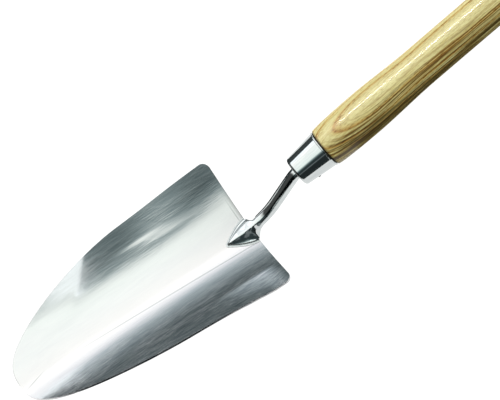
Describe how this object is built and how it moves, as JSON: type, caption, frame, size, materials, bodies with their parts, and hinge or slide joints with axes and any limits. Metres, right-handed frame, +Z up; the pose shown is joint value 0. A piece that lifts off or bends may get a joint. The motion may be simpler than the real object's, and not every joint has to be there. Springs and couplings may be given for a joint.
{
  "type": "garden trowel",
  "caption": "Garden trowel with a dished stainless steel blade, a polished swan neck welded to it, a tapered ferrule and a turned ash handle with a rounded end.",
  "frame": {"origin": "middle of the footprint on the floor that the trowel lies on, with the scoop looking up", "axes": "+X along the tool toward the handle's butt, the blade's tip at -X; +Y across; +Z up; the tool is symmetric about the XZ plane but for the small ferrule pin"},
  "size_m": [0.5354, 0.0976, 0.0541],
  "materials": {
    "blade_steel": "fine brushed stainless steel, buffed bright",
    "polished_steel": "mirror polished stainless steel",
    "weld_steel": "dressed and buffed weld metal",
    "ash": "clear gloss varnish over ash"
  },
  "bodies": {
    "root": {"blade": "blade_steel", "swan_neck": "polished_steel", "foot_weld": "weld_steel", "ferrule": "polished_steel", "ferrule_pin": "polished_steel", "handle": "ash"}
  },
  "joints": []
}
